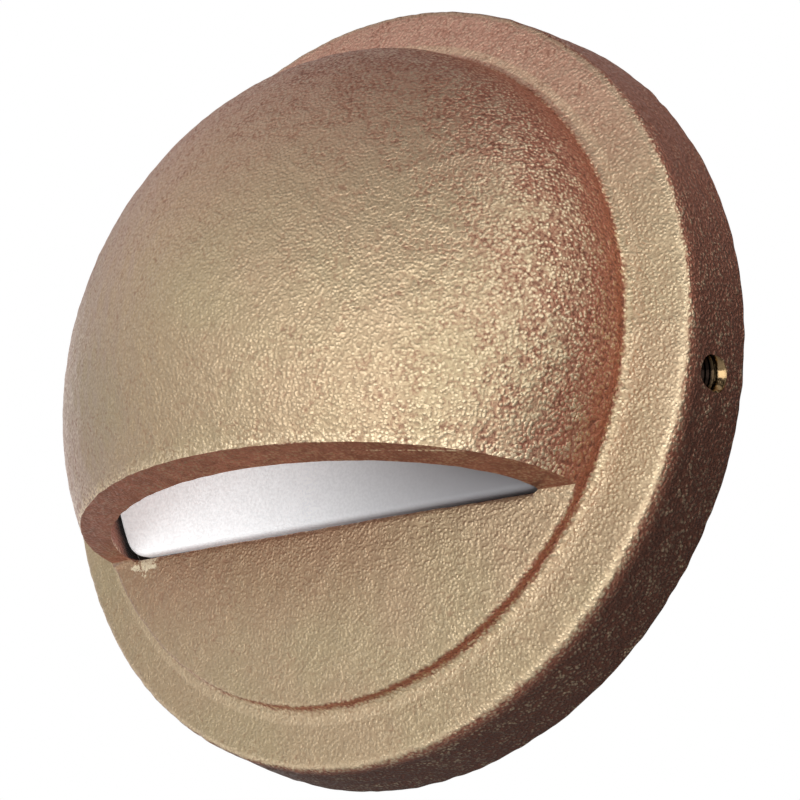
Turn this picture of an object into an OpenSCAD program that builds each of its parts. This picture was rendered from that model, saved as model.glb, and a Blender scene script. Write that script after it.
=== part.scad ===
// Round deck light, surface mounted on a wall, riser or post.
// A cast cover with an eyelid hood throws the light of a flat LED ring down
// through a slot. The cover slides over a shallow wall plate and is held by two
// set screws in its side wall. Millimetres, +Z up, wall plane y = 0, front to -Y.

/* [Cover ring] */
// Radius of the cover's back edge, four inches across
ring_back_r = 50.8; // [48:0.1:54]
// Draft of the side wall: radius lost from the back edge to the front corner
side_taper = 2.6; // [1.6:0.1:3.4]
// Width of the ring's face from its corner to the dome
ring_face_w = 6.7; // [6:0.1:7.4]
// Cast wall from the back edge to the bore that takes the wall plate
ring_wall = 7.4; // [6.8:0.1:8]
// Depth of the ring from the wall to its front face
ring_depth = 8.9; // [8.7:0.1:9.6]
// Rounding of the ring's outer front corner
ring_edge_r = 1.6; // [0.6:0.1:2.4]
// Concave fillet where dome and chin rise from the ring face
base_fillet_r = 1.1; // [0.6:0.1:1.2]

/* [Hood] */
// Height of the dome in front of the ring face
dome_rise = 24.7; // [22:0.1:27]
// Casting wall at the sides of the hood
hood_side_wall = 3.4; // [3:0.1:3.8]
// Casting wall at the top of the dome
hood_nose_wall = 4.3; // [3:0.1:5]
// Drop from the light's centre to the hood's cut edge at the ring face
hood_edge_drop = 21.75; // [18:0.25:24]
// Rise of the cut edge toward the nose, in degrees
hood_edge_tilt = 13.2; // [8:0.2:18]

/* [Chin] */
// Height by which the chin's straight top edge stands above the hood's cut edge
chin_top_lift = 0.45; // [0.3:0.05:0.8]
// Height of the raised chin in front of the ring face at its rim
chin_rim_rise = 1.9; // [1.85:0.05:2.2]
// Extra height that the crown adds at the centre
chin_crown = 1; // [0.4:0.1:1.6]
// Rounding of the chin's rim
chin_edge_r = 0.65; // [0.3:0.05:0.65]

/* [Lens] */
// Thickness of the lens's flange, behind the ledge
lens_flange_t = 1.4; // [1.2:0.1:1.6]
// Height by which the lens's front stands out of the flange, through the slot
lens_plug_t = 1.5; // [1:0.1:1.8]
// Rounding of the lens's two lower corners
lens_corner_r = 2.5; // [1.5:0.1:3.5]
// Gap round the lens's front, to the hood's inner wall and the chin's top edge
lens_gap = 0.4; // [0.2:0.05:0.6]
// Width of the ledge that the lens and its seal bear on
ledge_w = 1.5; // [1.3:0.1:1.7]
// Depth of the lens's flange behind the chin's top edge
chin_cover = 2.3; // [1.8:0.1:4]
// Wall of the silicone seal round the edge of the flange
seal_wall = 0.5; // [0.4:0.05:0.6]
// Lip of the seal in front of the flange
seal_front = 0.3; // [0.2:0.05:0.4]
// Lip of the seal behind the flange
seal_back = 0.5; // [0.4:0.05:0.6]

/* [Wall plate] */
// Depth of the plate, back face to rim
plate_depth = 5.3; // [5.2:0.1:5.5]
// Thickness of the plate's floor
plate_floor = 2.4; // [2:0.1:2.6]
// Wall of the plate's rim
rim_wall = 3; // [2:0.1:3.6]
// Diameter of the wall screw holes
wall_hole_d = 4.6; // [4:0.1:5.2]
// Radial clearance between the plate's rim and the cover's bore
cover_clearance = 0.4; // [0.3:0.05:0.6]
// Thickness of the foam gasket behind the plate
wall_gasket_t = 0.8; // [0.6:0.1:0.9]

/* [Set screws] */
// Thread diameter of the set screws
set_screw_d = 3.5; // [3:0.1:3.7]
// Length of the set screws
set_screw_len = 4; // [3.5:0.1:4.5]
// Distance from the wall to the screws' axes
set_screw_offset = 4.6; // [4.4:0.1:4.7]
// Angle of the screws below the horizontal, in degrees
set_screw_angle = 12.6; // [0:0.2:30]
// Radial clearance of the thread in the cover
thread_clearance = 0.05; // [0.03:0.01:0.08]
// Hexagon socket across its flats
hex_key = 1.6; // [1.3:0.1:1.8]

/* [Light source] */
// Outer radius of the ring board
board_r = 25; // [24:0.1:26]
// Radius of the board's centre opening
board_hole_r = 9.2; // [8.9:0.1:9.6]
// Thickness of the metal core board
board_t = 1; // [0.8:0.1:1.2]
// Thickness of the thermal pad under the board
pad_t = 0.4; // [0.3:0.1:0.5]
// Number of screws that hold the board
board_screw_count = 3; // [2:1:3]
// Radius of the cable bore through the grommet
cable_r = 3.4; // [3:0.1:3.8]

/* [Hidden] */

// Overrun of every cut past the face that it leaves
cut = 0.5;
// Gap round a gasket or seal that lies in a groove
soft_gap = 0.1;
// Gap between the rim's front and the step of the cover's bore
rim_front_gap = 0.5;
// Depth by which the seal stays inside its pocket
seal_recess = 0.2;
// Overlap of the seal's lips over the glass
seal_lip = 0.6;
// Gap between a set screw's point and the rim that it is turned down onto
screw_tip_gap = 0.3;

// Powers of the dome's outline: across the wall plane and toward the front
dome_plan_power = 1.785;
dome_front_power = 1.853;
dome_steps = 24;
arc_steps = 8;
crown_steps = 8;

// Cover, measured outward from the wall
ring_face_r = ring_back_r - side_taper;
dome_r = ring_face_r - ring_face_w;
bore_r = ring_back_r - ring_wall;
bore_depth = wall_gasket_t + plate_depth + rim_front_gap;
pocket_depth = seal_front + lens_flange_t + seal_back + seal_recess;
ledge_depth = bore_depth + pocket_depth;
hood_inner_r = dome_r - hood_side_wall;
hood_inner_rise = dome_rise - hood_nose_wall;
hood_edge_y = -hood_edge_drop;
chin_top_y = hood_edge_y + chin_top_lift;
side_draft = atan(side_taper / ring_depth);

// Lens, a disc with a straight lower edge, stepped at the ledge
pocket_r = hood_inner_r + ledge_w;
seal_r = pocket_r - soft_gap;
lens_r = seal_r - seal_wall;
lip_r = lens_r - seal_lip;
pocket_chord_y = chin_top_y - chin_cover;
seal_chord_y = pocket_chord_y + soft_gap;
lens_chord_y = seal_chord_y + seal_wall;
lip_chord_y = lens_chord_y + seal_lip;
seal_start = bore_depth + seal_recess;
lens_start = seal_start + seal_back;
flange_end = lens_start + lens_flange_t;
plug_r = hood_inner_r - lens_gap;
plug_chord_y = chin_top_y + lens_gap;

// Groove and gasket in the cover's back edge
groove_w = 2;
groove_depth = 1.2;
groove_mid_r = (bore_r + ring_back_r) / 2;

// Wall plate, inside the cover's bore
plate_r = bore_r - cover_clearance;
rim_inner_r = plate_r - rim_wall;
// The wall screws stand midway between the board and the rim
wall_hole_reach = (board_r + rim_inner_r) / 2;
floor_front = wall_gasket_t + plate_floor;
rim_front = wall_gasket_t + plate_depth;
gasket_edge_inset = 1;
gasket_hole_gap = 0.4;
wall_hole_r = wall_hole_d / 2;

// Cable grommet
grommet_neck_wall = 3.1;
grommet_flange_w = 1.7;
grommet_flange_t = 1;
grommet_neck_r = cable_r + grommet_neck_wall;
grommet_flange_r = grommet_neck_r + grommet_flange_w;

// Board stack
pad_front = floor_front + pad_t;
board_front = pad_front + board_t;
pad_inset = 0.5;
led_ring_share = 0.72;
driver_ring_share = 0.3;
led_ring_r = board_hole_r + led_ring_share * (board_r - board_hole_r);
driver_ring_r = board_hole_r + driver_ring_share * (board_r - board_hole_r);
// Packages between two board screws, and the places that both fill
led_group_count = 3;
group_count = led_group_count + 1;
place_count = board_screw_count * group_count;
place_step = 360 / place_count;
screw_places = [for (i = [0:place_count - 1]) if (i % group_count == led_group_count) i];
led_places = [for (i = [0:place_count - 1]) if (i % group_count != led_group_count) i];

// Board screws
board_screw_r = 1.25;
board_screw_head_r = 2.1;
board_screw_head_h = 1.2;
board_screw_depth = 3.4;
board_screw_clearance = 0.15;
board_screw_slot_w = 0.5;
board_screw_slot_depth = 0.6;

// Light emitting packages
led_w = 2.8;
led_l = 3.5;
led_h = 0.7;
led_cup_r = 1.05;
led_cup_depth = 0.35;
led_fill_depth = 0.3;

// Driver parts: length, width and height of each body, and its place on the ring
rectifier_size = [4.7, 4, 2];
rectifier_angle = 35;
chip_size = [2.9, 1.6, 1.1];
chip_angle = 250;
chip_lead_count = 3;
inductor_side = 5;
inductor_h = 1.8;
inductor_base_h = 0.5;
inductor_wall = 0.5;
inductor_angle = 300;
capacitor_size = [3.2, 2.5, 1.8];
capacitor_angles = [350, 190];
resistor_size = [2, 1.25, 0.5];
resistor_angles = [215, 228];
terminal_size = [5.2, 4, 2.2];
terminal_angles = [82, 128];
terminal_hole_r = 0.9;
lead_w = 0.6;
lead_t = 0.25;
lead_reach = 1;

// Set screws
hex_depth = 1.7;
screw_point_len = 0.9;
screw_point_r = 0.5;
screw_edge = 0.25;
set_screw_r = set_screw_d / 2;
set_screw_hole_r = set_screw_r + thread_clearance;
screw_tip_r = plate_r + screw_tip_gap;
hole_chamfer = 0.3;
hole_mouth_r = ring_back_r - side_taper * set_screw_offset / ring_depth;
// Ratio of a hexagon's corner circle to its flats
hex_corner_ratio = 1 / cos(30);

// Points of an arc from angle a0 to angle a1
function arc(cx, cy, r, a0, a1, steps) =
    [for (i = [0:steps]) let (a = a0 + (a1 - a0) * i / steps) [cx + r * cos(a), cy + r * sin(a)]];

// Half outline of a dome, from its foot on the ring face to its apex
function dome_curve(r, rise, foot) =
    [for (i = [0:dome_steps]) let (a = 90 * i / dome_steps)
        [r * pow(cos(a), 2 / dome_plan_power), foot + rise * pow(sin(a), 2 / dome_front_power)]];

// Turns a shape drawn face on (x right, y up, z outward) onto the wall
module on_wall() {
    rotate([90, 0, 0]) children();
}

// Ring between two depths from the wall
module ring(outer_r, inner_r, start, end) {
    translate([0, 0, start]) linear_extrude(end - start) difference() {
        circle(r = outer_r, $fn = 96);
        circle(r = inner_r, $fn = 96);
    }
}

// Disc cut straight along its lower side, between two depths from the wall
module cut_disc(r, chord_y, start, end) {
    translate([0, 0, start]) linear_extrude(end - start) intersection() {
        circle(r = r, $fn = 96);
        translate([-2 * r, chord_y]) square([4 * r, 2 * r - chord_y]);
    }
}

// The same disc with its two lower corners rounded
module round_cut_disc(r, chord_y, corner_r, start, end) {
    corner_y = chord_y + corner_r;
    corner_x = sqrt(pow(r - corner_r, 2) - pow(corner_y, 2));
    meet_y = corner_y * r / (r - corner_r);
    translate([0, 0, start]) linear_extrude(end - start) intersection() {
        circle(r = r, $fn = 96);
        union() {
            translate([-2 * r, meet_y]) square([4 * r, 2 * r - meet_y]);
            translate([-corner_x, chord_y]) square([2 * corner_x, 2 * r - chord_y]);
            for (side = [-1, 1]) translate([side * corner_x, corner_y]) circle(r = corner_r, $fn = 48);
        }
    }
}

// Copies of the children at chosen places of the board's outer ring
module at_places(places) {
    for (i = places) rotate([0, 0, i * place_step]) translate([led_ring_r, 0, 0]) children();
}

// One driver part on the inner ring, its length along the ring
module at_driver(angle) {
    rotate([0, 0, angle]) translate([driver_ring_r, 0, board_front]) rotate([0, 0, 90]) children();
}

// Block standing on the board, centred in plan
module block(size) {
    translate([-size[0] / 2, -size[1] / 2, 0]) cube(size);
}

// Row of bent leads on both long sides of a chip body
module chip_leads(size, count) {
    pitch = size[0] / count;
    for (i = [0:count - 1]) translate([(i + 0.5) * pitch - size[0] / 2, 0, 0])
        block([lead_w, size[1] + 2 * lead_reach, lead_t]);
}

// Outline of the casting without the dome: side wall, rounded corner, ring face,
// fillet and crowned chin
function casting_outline() = let (
    edge_x = ring_face_r - ring_edge_r * (1 - sin(side_draft)) / cos(side_draft),
    chin_front = ring_depth + chin_rim_rise,
    crown_r = dome_r - chin_edge_r)
    concat(
        [[0, 0], [ring_back_r, 0]],
        arc(edge_x, ring_depth - ring_edge_r, ring_edge_r, side_draft, 90, arc_steps),
        arc(dome_r + base_fillet_r, ring_depth + base_fillet_r, base_fillet_r, 270, 180, arc_steps),
        arc(crown_r, chin_front - chin_edge_r, chin_edge_r, 0, 90, arc_steps),
        [for (i = [1:crown_steps]) let (s = 1 - i / crown_steps)
            [crown_r * s, chin_front + chin_crown * (1 - s * s)]]);

// Space above the hood's tilted cut edge
module above_hood_edge() {
    translate([0, hood_edge_y, ring_depth]) rotate([-hood_edge_tilt, 0, 0])
        translate([-ring_back_r, 0, -ring_back_r])
            cube([2 * ring_back_r, 2 * ring_back_r, 2 * ring_back_r]);
}

// Solid dome in front of the ring face
module dome(r, rise, foot) {
    rotate_extrude($fn = 96) polygon(concat([[0, foot]], dome_curve(r, rise, foot)));
}

// Room under the hood, closed below by the chin's top edge
module hood_room() {
    intersection() {
        union() {
            dome(hood_inner_r, hood_inner_rise, ring_depth);
            translate([0, 0, ledge_depth - cut])
                cylinder(r = hood_inner_r, h = ring_depth + cut - ledge_depth + cut, $fn = 96);
        }
        translate([-ring_back_r, chin_top_y, ledge_depth - cut])
            cube([2 * ring_back_r, 2 * ring_back_r, dome_rise + 2 * cut]);
    }
}

// Line of a set screw, from the light's axis outward; side is 1 right, -1 left
module on_screw_axis(side) {
    translate([0, 0, set_screw_offset])
        rotate([0, 0, side > 0 ? -set_screw_angle : 180 + set_screw_angle])
            rotate([0, 90, 0]) children();
}

// Cast cover: ring, crowned chin and eyelid hood in one piece
module hood_cover() {
    color([0.72, 0.55, 0.37]) on_wall() difference() {
        union() {
            rotate_extrude($fn = 96) polygon(casting_outline());
            intersection() {
                dome(dome_r, dome_rise, ring_depth);
                above_hood_edge();
            }
        }
        hood_room();
        cut_disc(pocket_r, pocket_chord_y, bore_depth - cut, ledge_depth);
        translate([0, 0, -cut]) cylinder(r = bore_r, h = bore_depth + cut, $fn = 96);
        ring(groove_mid_r + groove_w / 2, groove_mid_r - groove_w / 2, -cut, groove_depth);
        for (side = [-1, 1]) on_screw_axis(side) {
            translate([0, 0, bore_r - cut]) cylinder(r = set_screw_hole_r, h = ring_wall + 2 * cut, $fn = 32);
            translate([0, 0, hole_mouth_r - hole_chamfer])
                cylinder(r1 = set_screw_hole_r, r2 = set_screw_hole_r + 2 * hole_chamfer, h = 2 * hole_chamfer, $fn = 32);
        }
    }
}

// Foam ring in the groove of the cover's back edge
module rim_gasket() {
    color([0.12, 0.12, 0.12]) on_wall()
        ring(groove_mid_r + groove_w / 2 - soft_gap, groove_mid_r - groove_w / 2 + soft_gap, 0, groove_depth);
}

// Frosted lens: a flange behind the ledge and a front that fills the slot
module lens() {
    color([0.92, 0.94, 0.97]) on_wall() {
        cut_disc(lens_r, lens_chord_y, lens_start, flange_end);
        round_cut_disc(plug_r, plug_chord_y, lens_corner_r, lens_start, flange_end + lens_plug_t);
    }
}

// Silicone channel round the edge of the lens's flange
module lens_seal() {
    seal_end = flange_end + seal_front;
    color([0.85, 0.85, 0.83]) on_wall() difference() {
        cut_disc(seal_r, seal_chord_y, seal_start, seal_end);
        cut_disc(lens_r, lens_chord_y, lens_start, flange_end);
        cut_disc(lip_r, lip_chord_y, seal_start - cut, seal_end + cut);
    }
}

// Set screw with a hexagon socket and a cone point
module set_screw(side) {
    socket_end = screw_tip_r + set_screw_len;
    color([0.55, 0.55, 0.52]) on_wall() on_screw_axis(side) difference() {
        rotate_extrude($fn = 48) polygon([
            [0, screw_tip_r],
            [screw_point_r, screw_tip_r],
            [set_screw_r, screw_tip_r + screw_point_len],
            [set_screw_r, socket_end - screw_edge],
            [set_screw_r - screw_edge, socket_end],
            [0, socket_end]]);
        translate([0, 0, socket_end - hex_depth])
            cylinder(d = hex_key * hex_corner_ratio, h = hex_depth + cut, $fn = 6);
    }
}

module set_screw_right() {
    set_screw(1);
}

module set_screw_left() {
    set_screw(-1);
}

// Shallow dish that is screwed to the wall; its rim centres the cover
module back_plate() {
    color([0.7, 0.66, 0.52]) on_wall() difference() {
        union() {
            ring(plate_r, grommet_neck_r, wall_gasket_t, floor_front);
            ring(plate_r, rim_inner_r, wall_gasket_t, rim_front);
        }
        for (side = [-1, 1]) translate([side * wall_hole_reach, 0, wall_gasket_t - cut])
            cylinder(r = wall_hole_r, h = plate_floor + 2 * cut, $fn = 32);
        at_places(screw_places) translate([0, 0, wall_gasket_t - cut])
            cylinder(r = board_screw_r + thread_clearance, h = plate_floor + 2 * cut, $fn = 24);
    }
}

// Foam disc between plate and wall
module wall_gasket() {
    color([0.15, 0.15, 0.15]) on_wall() difference() {
        ring(plate_r - gasket_edge_inset, grommet_flange_r + gasket_hole_gap, 0, wall_gasket_t);
        for (side = [-1, 1]) translate([side * wall_hole_reach, 0, -cut])
            cylinder(r = wall_hole_r, h = wall_gasket_t + 2 * cut, $fn = 32);
    }
}

// Rubber bush that the supply cable comes through
module cable_grommet() {
    color([0.1, 0.1, 0.1]) on_wall() rotate_extrude($fn = 64) polygon([
        [cable_r, 0],
        [grommet_flange_r, 0],
        [grommet_flange_r, wall_gasket_t],
        [grommet_neck_r - soft_gap, wall_gasket_t],
        [grommet_neck_r - soft_gap, floor_front],
        [grommet_flange_r, floor_front],
        [grommet_flange_r, floor_front + grommet_flange_t],
        [cable_r, floor_front + grommet_flange_t]]);
}

// Soft sheet that carries the heat of the board into the plate
module thermal_pad() {
    color([0.75, 0.75, 0.78]) on_wall() difference() {
        ring(board_r - pad_inset, board_hole_r + pad_inset, floor_front, pad_front);
        at_places(screw_places) translate([0, 0, floor_front - cut])
            cylinder(r = board_screw_r + board_screw_clearance, h = pad_t + 2 * cut, $fn = 24);
    }
}

// Ring board with its three screw holes
module led_board() {
    color([0.93, 0.93, 0.9]) on_wall() difference() {
        ring(board_r, board_hole_r, pad_front, board_front);
        at_places(screw_places) translate([0, 0, pad_front - cut])
            cylinder(r = board_screw_r + board_screw_clearance, h = board_t + 2 * cut, $fn = 24);
    }
}

// White package with a round cup
module led_packages() {
    color([0.96, 0.96, 0.93]) on_wall() at_places(led_places) translate([0, 0, board_front]) difference() {
        block([led_w, led_l, led_h]);
        translate([0, 0, led_h - led_cup_depth]) cylinder(r = led_cup_r, h = led_cup_depth + cut, $fn = 48);
    }
}

// Yellow filling of each cup
module led_phosphors() {
    color([0.95, 0.8, 0.25]) on_wall() at_places(led_places)
        translate([0, 0, board_front + led_h - led_cup_depth])
            cylinder(r = led_cup_r, h = led_fill_depth, $fn = 48);
}

// Bridge rectifier with four leads
module rectifier() {
    color([0.15, 0.15, 0.16]) on_wall() at_driver(rectifier_angle) {
        translate([0, 0, lead_t]) block(rectifier_size);
        chip_leads(rectifier_size, 2);
    }
}

// Current controller with six leads
module driver_chip() {
    color([0.13, 0.13, 0.14]) on_wall() at_driver(chip_angle) {
        translate([0, 0, lead_t]) block(chip_size);
        chip_leads(chip_size, chip_lead_count);
    }
}

// Shielded choke: square foot, round shell, sunk core
module inductor() {
    shell_r = inductor_side / 2;
    color([0.3, 0.29, 0.28]) on_wall() at_driver(inductor_angle) difference() {
        union() {
            block([inductor_side, inductor_side, inductor_base_h]);
            cylinder(r = shell_r, h = inductor_h, $fn = 32);
        }
        translate([0, 0, inductor_h - inductor_wall])
            cylinder(r = shell_r - inductor_wall, h = inductor_wall + cut, $fn = 32);
    }
}

// Ceramic capacitors of the driver
module smoothing_capacitors() {
    color([0.72, 0.6, 0.42]) on_wall() for (a = capacitor_angles) at_driver(a) block(capacitor_size);
}

// Resistors that set the lamp current
module sense_resistors() {
    color([0.1, 0.1, 0.11]) on_wall() for (a = resistor_angles) at_driver(a) block(resistor_size);
}

// Push-in blocks for the two supply leads, open toward the grommet
module lead_terminals() {
    color([0.9, 0.9, 0.88]) on_wall() for (a = terminal_angles) at_driver(a) difference() {
        rotate([0, 0, 90]) block(terminal_size);
        translate([0, 0, terminal_size[2] / 2]) rotate([-90, 0, 0])
            cylinder(r = terminal_hole_r, h = terminal_size[0] / 2 + cut, $fn = 24);
    }
}

// Three screws that hold board and pad to the plate
module board_screws() {
    head_front = board_front + board_screw_head_h;
    color([0.78, 0.78, 0.76]) on_wall() at_places(screw_places) difference() {
        union() {
            translate([0, 0, board_front]) cylinder(r = board_screw_head_r, h = board_screw_head_h, $fn = 32);
            translate([0, 0, board_front - board_screw_depth])
                cylinder(r = board_screw_r, h = board_screw_depth + cut, $fn = 24);
        }
        for (turn = [0, 90]) rotate([0, 0, turn]) translate([0, 0, head_front - board_screw_slot_depth])
            block([board_screw_head_r, board_screw_slot_w, board_screw_slot_depth + cut]);
    }
}

wall_gasket();
back_plate();
cable_grommet();
thermal_pad();
led_board();
led_packages();
led_phosphors();
rectifier();
driver_chip();
inductor();
smoothing_capacitors();
sense_resistors();
lead_terminals();
board_screws();
hood_cover();
lens();
lens_seal();
rim_gasket();
set_screw_right();
set_screw_left();
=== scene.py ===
# %% [markdown]
# # A deck light in cast bronze
# The object is a round light for a deck riser or a post. A casting with an
# eyelid hood throws the light down through a slot, and a shallow plate behind
# it is screwed to the wall. This lesson builds the visual model in Blender
# round the CAD parts: first the casting, then the glass, then the small parts
# that show once the cover is lifted off, and last the light and the camera.

# %% The frame
import math

import bmesh
import bpy
from mathutils import Matrix, Vector, noise


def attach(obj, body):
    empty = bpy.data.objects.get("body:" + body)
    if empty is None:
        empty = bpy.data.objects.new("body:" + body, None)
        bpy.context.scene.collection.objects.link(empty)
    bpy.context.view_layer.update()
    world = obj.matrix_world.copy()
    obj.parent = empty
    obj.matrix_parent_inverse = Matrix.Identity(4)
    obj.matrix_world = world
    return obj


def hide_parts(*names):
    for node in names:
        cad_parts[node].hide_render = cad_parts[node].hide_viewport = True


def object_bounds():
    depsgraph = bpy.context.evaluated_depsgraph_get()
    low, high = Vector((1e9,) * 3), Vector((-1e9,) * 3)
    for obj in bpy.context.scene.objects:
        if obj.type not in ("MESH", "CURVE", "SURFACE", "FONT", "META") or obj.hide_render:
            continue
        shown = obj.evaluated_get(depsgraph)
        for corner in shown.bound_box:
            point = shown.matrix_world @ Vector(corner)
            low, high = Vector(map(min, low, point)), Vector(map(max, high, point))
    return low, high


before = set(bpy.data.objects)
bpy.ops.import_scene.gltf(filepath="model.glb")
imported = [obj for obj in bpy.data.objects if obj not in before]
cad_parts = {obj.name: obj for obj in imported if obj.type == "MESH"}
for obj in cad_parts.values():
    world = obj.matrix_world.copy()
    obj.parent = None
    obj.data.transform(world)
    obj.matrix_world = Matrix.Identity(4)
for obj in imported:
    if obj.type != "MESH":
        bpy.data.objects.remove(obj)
cad_low, cad_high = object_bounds()
print("CAD parts:", len(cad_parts), "size in mm:",
      [round(1000 * (b - a), 1) for a, b in zip(cad_low, cad_high)])

# %% [markdown]
# The parts are drawn face on, as a turner would: x to the right, y up and z
# out of the wall, in millimetres. One matrix then puts a finished mesh on the
# wall in metres. The object itself stays at the origin, unturned and unscaled,
# so that patterns in its material stay where they belong.

# %% Millimetres on the wall
MM = 0.001
ON_WALL = Matrix.Rotation(math.radians(90), 4, "X") @ Matrix.Scale(MM, 4)
print("10 mm out of the wall is", [round(c, 3) for c in ON_WALL @ Vector((0, 0, 10))])

# %% [markdown]
# ## The casting
# The cover is one casting. Its pattern is two lathe-turned shapes: a ring with
# a crowned disc, the chin, and a dome. A tilted saw cut leaves the eyelid of
# the dome, and a core hollows it out. The sizes are those of the CAD part.

# %% Sizes of the cover, in millimetres
ring_back_r = 50.8
ring_face_r = 48.2
ring_depth = 8.9
pattern_edge_r = 1.0
pattern_fillet_r = 0.7
pattern_chin_r = 0.35
dome_r = 41.5
dome_rise = 24.7
chin_rim_rise = 1.9
chin_crown = 1.0
chin_top_y = -21.3
hood_edge_y = -21.75
hood_edge_tilt = 13.2
hollow_r = 38.1
hollow_rise = 20.4
DOME_POWERS = (1.785, 1.853)
side_draft = math.degrees(math.atan((ring_back_r - ring_face_r) / ring_depth))
tilt = math.radians(hood_edge_tilt)
print("draft of the side:", round(side_draft, 2), "degrees")

# %% [markdown]
# ## Finishes as graphs of nodes
# A procedural material is a small graph of nodes, and could be drawn in the
# shader editor. Written down it is shorter, and every number has a reason next
# to it. `add` makes a node and fills its sockets with numbers or with the
# outputs of other nodes, and `finish` makes a material around one Principled
# shader. All patterns read Object coordinates, which are metres on the part.

# %% Nodes and colours
def add(tree, kind, inputs=None, **settings):
    node = tree.nodes.new("ShaderNode" + kind)
    for name, value in settings.items():
        setattr(node, name, value)
    for key, value in (inputs or {}).items():
        socket = node.inputs[key]
        if isinstance(value, bpy.types.NodeSocket):
            tree.links.new(value, socket)
        else:
            socket.default_value = value
    return node


def finish(name, **constants):
    """A material with one Principled shader whose plain numbers are given."""
    material = bpy.data.materials.new(name)
    material.use_nodes = True
    tree = material.node_tree
    shader = tree.nodes["Principled BSDF"]
    for key, value in constants.items():
        shader.inputs[key.replace("_", " ")].default_value = value
    where = add(tree, "TexCoord")
    return material, tree, shader, where.outputs["Object"]


def rgb(red, green, blue):
    """A colour as it is written in a paint program, 0 to 255, made linear."""
    def linear(c):
        c = c / 255
        return c / 12.92 if c <= 0.04045 else ((c + 0.055) / 1.055) ** 2.4
    return (linear(red), linear(green), linear(blue), 1.0)


print("half bright, as light:", round(rgb(128, 128, 128)[0], 3))

# %% [markdown]
# Real finishes vary by place and by grain. Two patterns do most of the work:
# soft noise for stains and swells, and round cells for the grains of a casting.
# `spread` then stretches a pattern to the range in which it is used, with soft
# ends, because a pattern's own values crowd round the middle.

# %% Patterns
def spread(tree, value, low, high, to_low=0.0, to_high=1.0):
    """Stretches the range low to high of a value over to_low to to_high."""
    return add(tree, "MapRange", {"Value": value, "From Min": low, "From Max": high,
                                  "To Min": to_low, "To Max": to_high},
               interpolation_type="SMOOTHSTEP").outputs["Result"]


def noise_of(tree, where, size_mm, detail=2.0, rough=0.5):
    """Soft noise whose lumps are about size_mm across."""
    return add(tree, "TexNoise", {"Vector": where, "Scale": 1 / (size_mm * MM),
                                  "Detail": detail, "Roughness": rough}).outputs["Fac"]


def grains_of(tree, where, size_mm):
    """Round grains of one size, 1 at their tops and 0 in the joints."""
    cells = add(tree, "TexVoronoi", {"Vector": where, "Scale": 1 / (size_mm * MM)}, feature="F1")
    return spread(tree, cells.outputs["Distance"], 0.1, 0.8, 1.0, 0.0)


print("lumps of half a millimetre need a scale of", round(1 / (0.5 * MM)))

# %% [markdown]
# The rest is arithmetic on patterns. Every sum is a node of its own, so each
# kind of sum has a helper with a short name.

# %% Sums, blends and relief
def times(tree, first, second):
    return add(tree, "Math", {0: first, 1: second}, operation="MULTIPLY").outputs[0]


def plus(tree, first, second):
    return add(tree, "Math", {0: first, 1: second}, operation="ADD").outputs[0]


def larger(tree, first, second):
    return add(tree, "Math", {0: first, 1: second}, operation="MAXIMUM").outputs[0]


def blend_colours(tree, share, first, second):
    mix = add(tree, "Mix", {"Factor": share}, data_type="RGBA")
    sockets = [s for s in mix.inputs if s.type == "RGBA"]
    for socket, colour in zip(sockets, (first, second)):
        if isinstance(colour, bpy.types.NodeSocket):
            tree.links.new(colour, socket)
        else:
            socket.default_value = colour
    return [s for s in mix.outputs if s.type == "RGBA"][0]


def radius_of(tree, where):
    """The distance from the light's own axis, which runs along y."""
    flat = add(tree, "VectorMath", {0: where, 1: (1, 0, 1)}, operation="MULTIPLY").outputs["Vector"]
    return add(tree, "VectorMath", {0: flat}, operation="LENGTH").outputs["Value"]


def relief(tree, height, depth_mm):
    """A bump whose highest point stands depth_mm over its lowest."""
    return add(tree, "Bump", {"Height": height, "Distance": depth_mm * MM}).outputs["Normal"]


print("sums, blends and relief are ready")

# %% [markdown]
# ## The bronze as cast
# A sand casting has an orange-peel skin: round grains under half a millimetre
# across with fine creases between them. Wear polishes the tips of the grain, and
# the faces turned forward are painted gold as painted light: a little rosier
# toward the top as painted shade and greyer on the left as a painted reflection.
# Red oxide stays in the creases, and the flanks stay oxide, painted umber low
# down as painted shade. So colour, metal and relief all read one height, and the
# colour reads the normal and the place too.

# %% Colours of the bronze
GOLD = rgb(200, 180, 145)
# Rose: painted shade toward the top.
PAINTED_SHADE_ROSE = rgb(214, 166, 145)
# Mauve: painted reflection on faces turned left.
PAINTED_REFLECTION_MAUVE = rgb(196, 168, 176)
OXIDE = rgb(178, 115, 93)
# Umber: painted shade low on the ring's side; the lip also turns umber toward its right end.
UMBER = rgb(102, 68, 56)
FILED = (rgb(174, 116, 94), rgb(198, 133, 110))
CREASE = rgb(112, 70, 54)
# Glint: painted highlights and painted glints.
GLINT = rgb(244, 220, 184)
# Pale colour of the painted highlight on the chin.
PAINTED_SPOT_COLOUR = rgb(255, 242, 208)
# Black painted shade: deep in the hood, inside the screw holes and on the lens flange.
PAINTED_SHADE_BLACK = rgb(34, 26, 22)
OUT_OF_WALL = (0, -1, 0)
print("gold as light:", [round(c, 3) for c in GOLD[:3]])

# %% [markdown]
# The finish has to know where it is. Across, out and up come straight from the
# coordinates, in millimetres. The lip lies on a tilted plane, so for the lip
# the coordinates are measured along the saw cut's own direction.

# %% Where things lie on the bronze
def between(tree, length, low_mm, high_mm, to_low=0.0, to_high=1.0):
    """Like spread, for a length whose range is given in millimetres."""
    return spread(tree, length, low_mm * MM, high_mm * MM, to_low, to_high)


def toward(tree, vector, way):
    """How far a vector goes along a way."""
    return add(tree, "VectorMath", {0: vector, 1: way}, operation="DOT_PRODUCT").outputs["Value"]


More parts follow.
